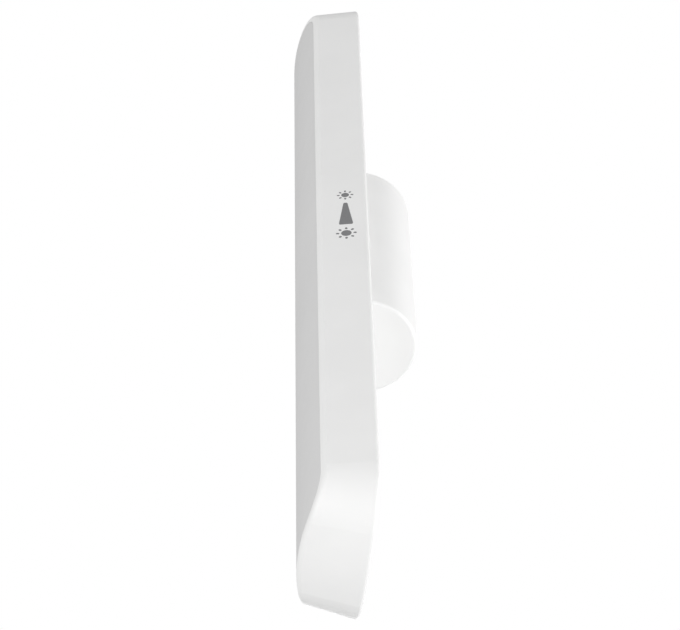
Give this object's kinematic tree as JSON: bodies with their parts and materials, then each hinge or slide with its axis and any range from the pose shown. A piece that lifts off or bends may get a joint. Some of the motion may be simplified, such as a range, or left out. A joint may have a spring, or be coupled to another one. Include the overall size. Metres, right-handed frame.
{
  "type": "magnetic bar lamp",
  "caption": "Slim rechargeable bar lamp: drafted tray with rounded ends, crowned opal front and a half-round magnetic hub on its flat back.",
  "frame": {"origin": "centre of the hub's half circle, half way along the lamp, in the plane of the flat back", "axes": "+Z along the lamp towards the end with the charging socket, +Y out of the back through the hub, -Y is where the light leaves, +X towards the plain side wall"},
  "size_m": [0.0486, 0.0345, 0.2694],
  "materials": {
    "shell_white": "fine matte moulded ABS",
    "diffuser_opal": "satin opal polycarbonate",
    "control_grey": "satin ABS",
    "carrier_black": "matte nylon",
    "cradle_white": "matte ABS",
    "nickel": "nickel plated",
    "magnet_nickel": "nickel plated neodymium",
    "yoke_steel": "zinc plated mild steel",
    "cell_sleeve": "shrink sleeve",
    "paper_ring": "fish paper",
    "board_core": "white solder mask on aluminium core",
    "led_warm": "phosphor silicone",
    "led_cool": "phosphor silicone",
    "board_green": "solder mask on glass laminate",
    "chip_black": "epoxy",
    "ferrite": "ferrite with resin",
    "ceramic_tan": "ceramic",
    "socket_steel": "drawn stainless steel",
    "tongue_black": "glass-filled nylon",
    "switch_black": "nylon",
    "pipe_clear": "clear acrylic",
    "led_red": "epoxy",
    "wire_red": "silicone insulation",
    "wire_black": "silicone insulation",
    "wire_white": "silicone insulation",
    "screw_steel": "zinc plated"
  },
  "bodies": {
    "lamp": {"rear_housing": "shell_white", "diffuser": "diffuser_opal", "hub_shell": "shell_white", "hub_magnets": "magnet_nickel", "magnet_carrier": "carrier_black", "magnet_yoke": "yoke_steel", "battery_cradle": "cradle_white", "battery_cell": "cell_sleeve", "battery_tabs": "nickel", "insulator_ring": "paper_ring", "light_board": "board_core", "leds_warm": "led_warm", "leds_cool": "led_cool", "control_board": "board_green", "control_chips": "chip_black", "inductor": "ferrite", "capacitors": "ceramic_tan", "socket_shell": "socket_steel", "socket_tongue": "tongue_black", "push_switch": "switch_black", "mode_switch": "switch_black", "light_pipe": "pipe_clear", "charge_led": "led_red", "plug_socket": "cradle_white", "wire_positive": "wire_red", "wire_negative": "wire_black", "light_wires": "wire_white", "light_board_screws": "screw_steel", "board_screws": "screw_steel", "hub_screws": "screw_steel"},
    "power_button": {"power_button": "control_grey", "switch_plunger": "switch_black"},
    "mode_knob": {"mode_knob": "control_grey"}
  },
  "joints": [
    {"name": "power_button_press", "type": "slide", "parent": "lamp", "child": "power_button", "axis": [1, 0, 0], "range_m": [0, 0.0005], "stiffness_N_per_m": 2500, "springref_m": -0.0003},
    {"name": "mode_knob_slide", "type": "slide", "parent": "lamp", "child": "mode_knob", "axis": [0, 0, 1], "range_m": [-0.002, 0.002]}
  ]
}
